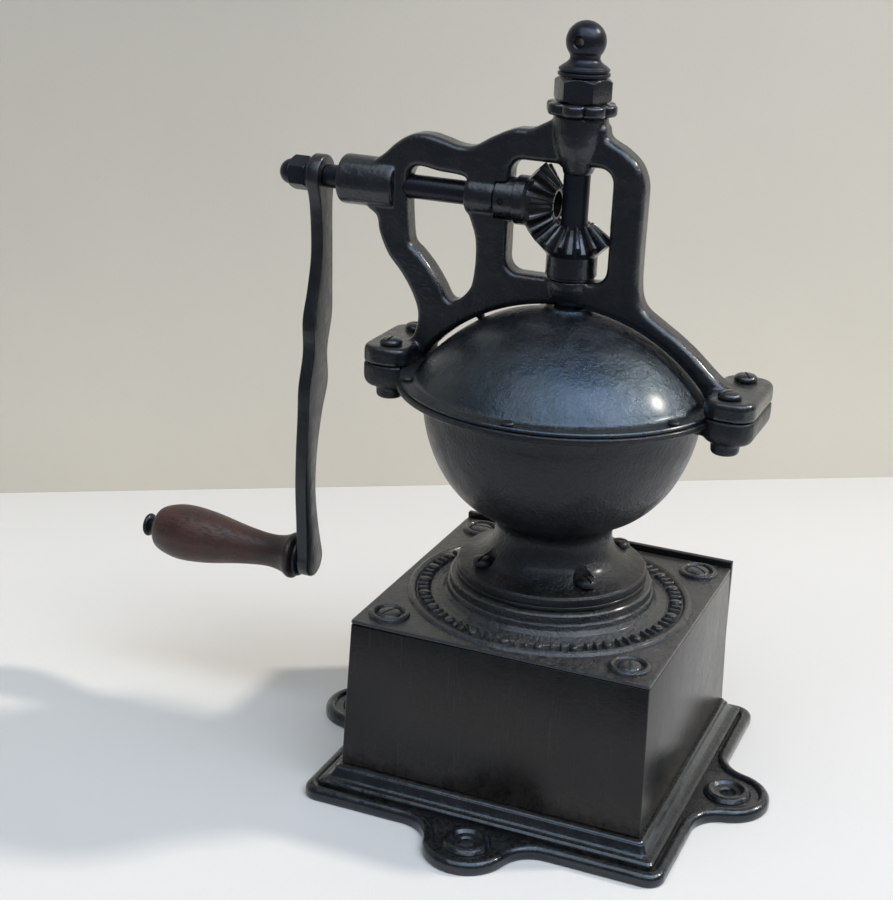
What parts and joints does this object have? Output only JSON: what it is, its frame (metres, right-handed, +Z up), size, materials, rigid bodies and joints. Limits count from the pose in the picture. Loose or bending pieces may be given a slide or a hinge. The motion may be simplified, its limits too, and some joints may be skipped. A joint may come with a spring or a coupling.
{
  "type": "hand crank coffee grinder",
  "caption": "Hand crank coffee grinder: square drawer box on an eared base, footed hopper bowl with domed lid and shutter, arched yoke with bevel gears, side crank and turned grip.",
  "frame": {"origin": "on the ground under the spindle, at the centre of the base plate's underside", "axes": "+Z up along the spindle, +X along the crank shaft towards the crank, -Y the way the drawer opens"},
  "size_m": [0.3774, 0.259, 0.4001],
  "materials": {
    "black_iron": "semi-gloss blackened casting with a fine grain",
    "black_steel": "blackened turned steel",
    "sheet_steel": "black painted sheet with faint streaks",
    "bare_steel": "bare machined steel",
    "wood": "dark reddish brown turned wood, worn satin"
  },
  "bodies": {
    "housing": {"base_plate": "black_iron", "bridge_screw_1": "bare_steel", "bridge_screw_2": "bare_steel", "bush_inner": "bare_steel", "bush_outer": "bare_steel", "corner_screw_1": "black_steel", "corner_screw_2": "black_steel", "corner_screw_3": "black_steel", "corner_screw_4": "black_steel", "drawer_runner_left": "sheet_steel", "drawer_runner_right": "sheet_steel", "fixed_lid": "black_iron", "foot_screw_1": "black_steel", "foot_screw_2": "black_steel", "foot_screw_3": "black_steel", "foot_screw_4": "black_steel", "hopper_bowl": "black_iron", "lid_screw_1": "black_steel", "lid_screw_2": "black_steel", "lid_screw_3": "black_steel", "lid_screw_4": "black_steel", "lid_screw_5": "black_steel", "lid_screw_6": "black_steel", "lift_spring": "bare_steel", "lobed_collar": "black_iron", "lower_bridge": "black_iron", "ring_burr": "bare_steel", "top_plate": "black_iron", "wall_wrap": "sheet_steel", "yoke": "black_iron", "yoke_screw_1": "black_steel", "yoke_screw_2": "black_steel", "yoke_screw_3": "black_steel", "yoke_screw_4": "black_steel"},
    "drawer": {"drawer_front": "black_iron", "drawer_tray": "sheet_steel", "drawer_pull": "black_steel"},
    "shutter_door": {"shutter": "black_iron", "shutter_knob": "black_steel"},
    "crank": {"crank_shaft": "black_steel", "drive_gear": "black_iron", "gear_pin": "bare_steel", "crank_arm": "black_iron", "crank_washer": "black_steel", "acorn_nut": "black_steel", "grip_pin": "bare_steel"},
    "handle": {"grip": "wood", "ferrule": "black_steel"},
    "driven_gear": {"spindle_gear": "black_iron", "gear_key": "bare_steel"},
    "grinding_spindle": {"spindle": "black_steel", "burr_cone": "bare_steel", "spring_washer": "bare_steel", "cone_nut": "bare_steel"},
    "thrust_carrier": {"thrust_ball": "bare_steel"},
    "adjuster": {"adjusting_screw": "black_steel"},
    "locking_nut": {"lock_nut": "black_iron"}
  },
  "joints": [
    {"name": "crank_spin", "type": "hinge", "parent": "housing", "child": "crank", "pos_m": [0, 0, 0.30965], "axis": [1, 0, 0], "continuous": true},
    {"name": "grip_spin", "type": "hinge", "parent": "crank", "child": "handle", "pos_m": [0.24, 0.006, 0.0925], "axis": [1, 0, 0], "continuous": true},
    {"name": "spindle_gear_spin", "type": "hinge", "parent": "housing", "child": "driven_gear", "pos_m": [0, 0, 0.30965], "axis": [0, 0, 1], "continuous": true},
    {"name": "spindle_lift", "type": "slide", "parent": "driven_gear", "child": "grinding_spindle", "axis": [0, 0, 1], "range_m": [0, 0.00151], "deforming": ["lift_spring"]},
    {"name": "adjuster_lift", "type": "slide", "parent": "housing", "child": "thrust_carrier", "axis": [0, 0, 1], "range_m": [0, 0.0015]},
    {"name": "adjusting_turn", "type": "hinge", "parent": "thrust_carrier", "child": "adjuster", "pos_m": [0, 0, 0.355], "axis": [0, 0, 1], "range_deg": [0, 361]},
    {"name": "lock_nut_turn", "type": "hinge", "parent": "housing", "child": "locking_nut", "pos_m": [0, 0, 0.367], "axis": [0, 0, 1], "range_deg": [0, 60]},
    {"name": "drawer_slide", "type": "slide", "parent": "housing", "child": "drawer", "axis": [0, -1, 0], "range_m": [0, 0.12]},
    {"name": "shutter_turn", "type": "hinge", "parent": "housing", "child": "shutter_door", "pos_m": [0, 0, 0.1625], "axis": [0, 0, 1], "range_deg": [-146, 0]}
  ],
  "couplings": [
    {"joint": "spindle_gear_spin", "follows": "crank_spin", "ratio": 1},
    {"joint": "spindle_lift", "follows": "adjuster_lift", "ratio": 1},
    {"joint": "adjusting_turn", "follows": "adjuster_lift", "rad_per_m": 4188.8}
  ]
}
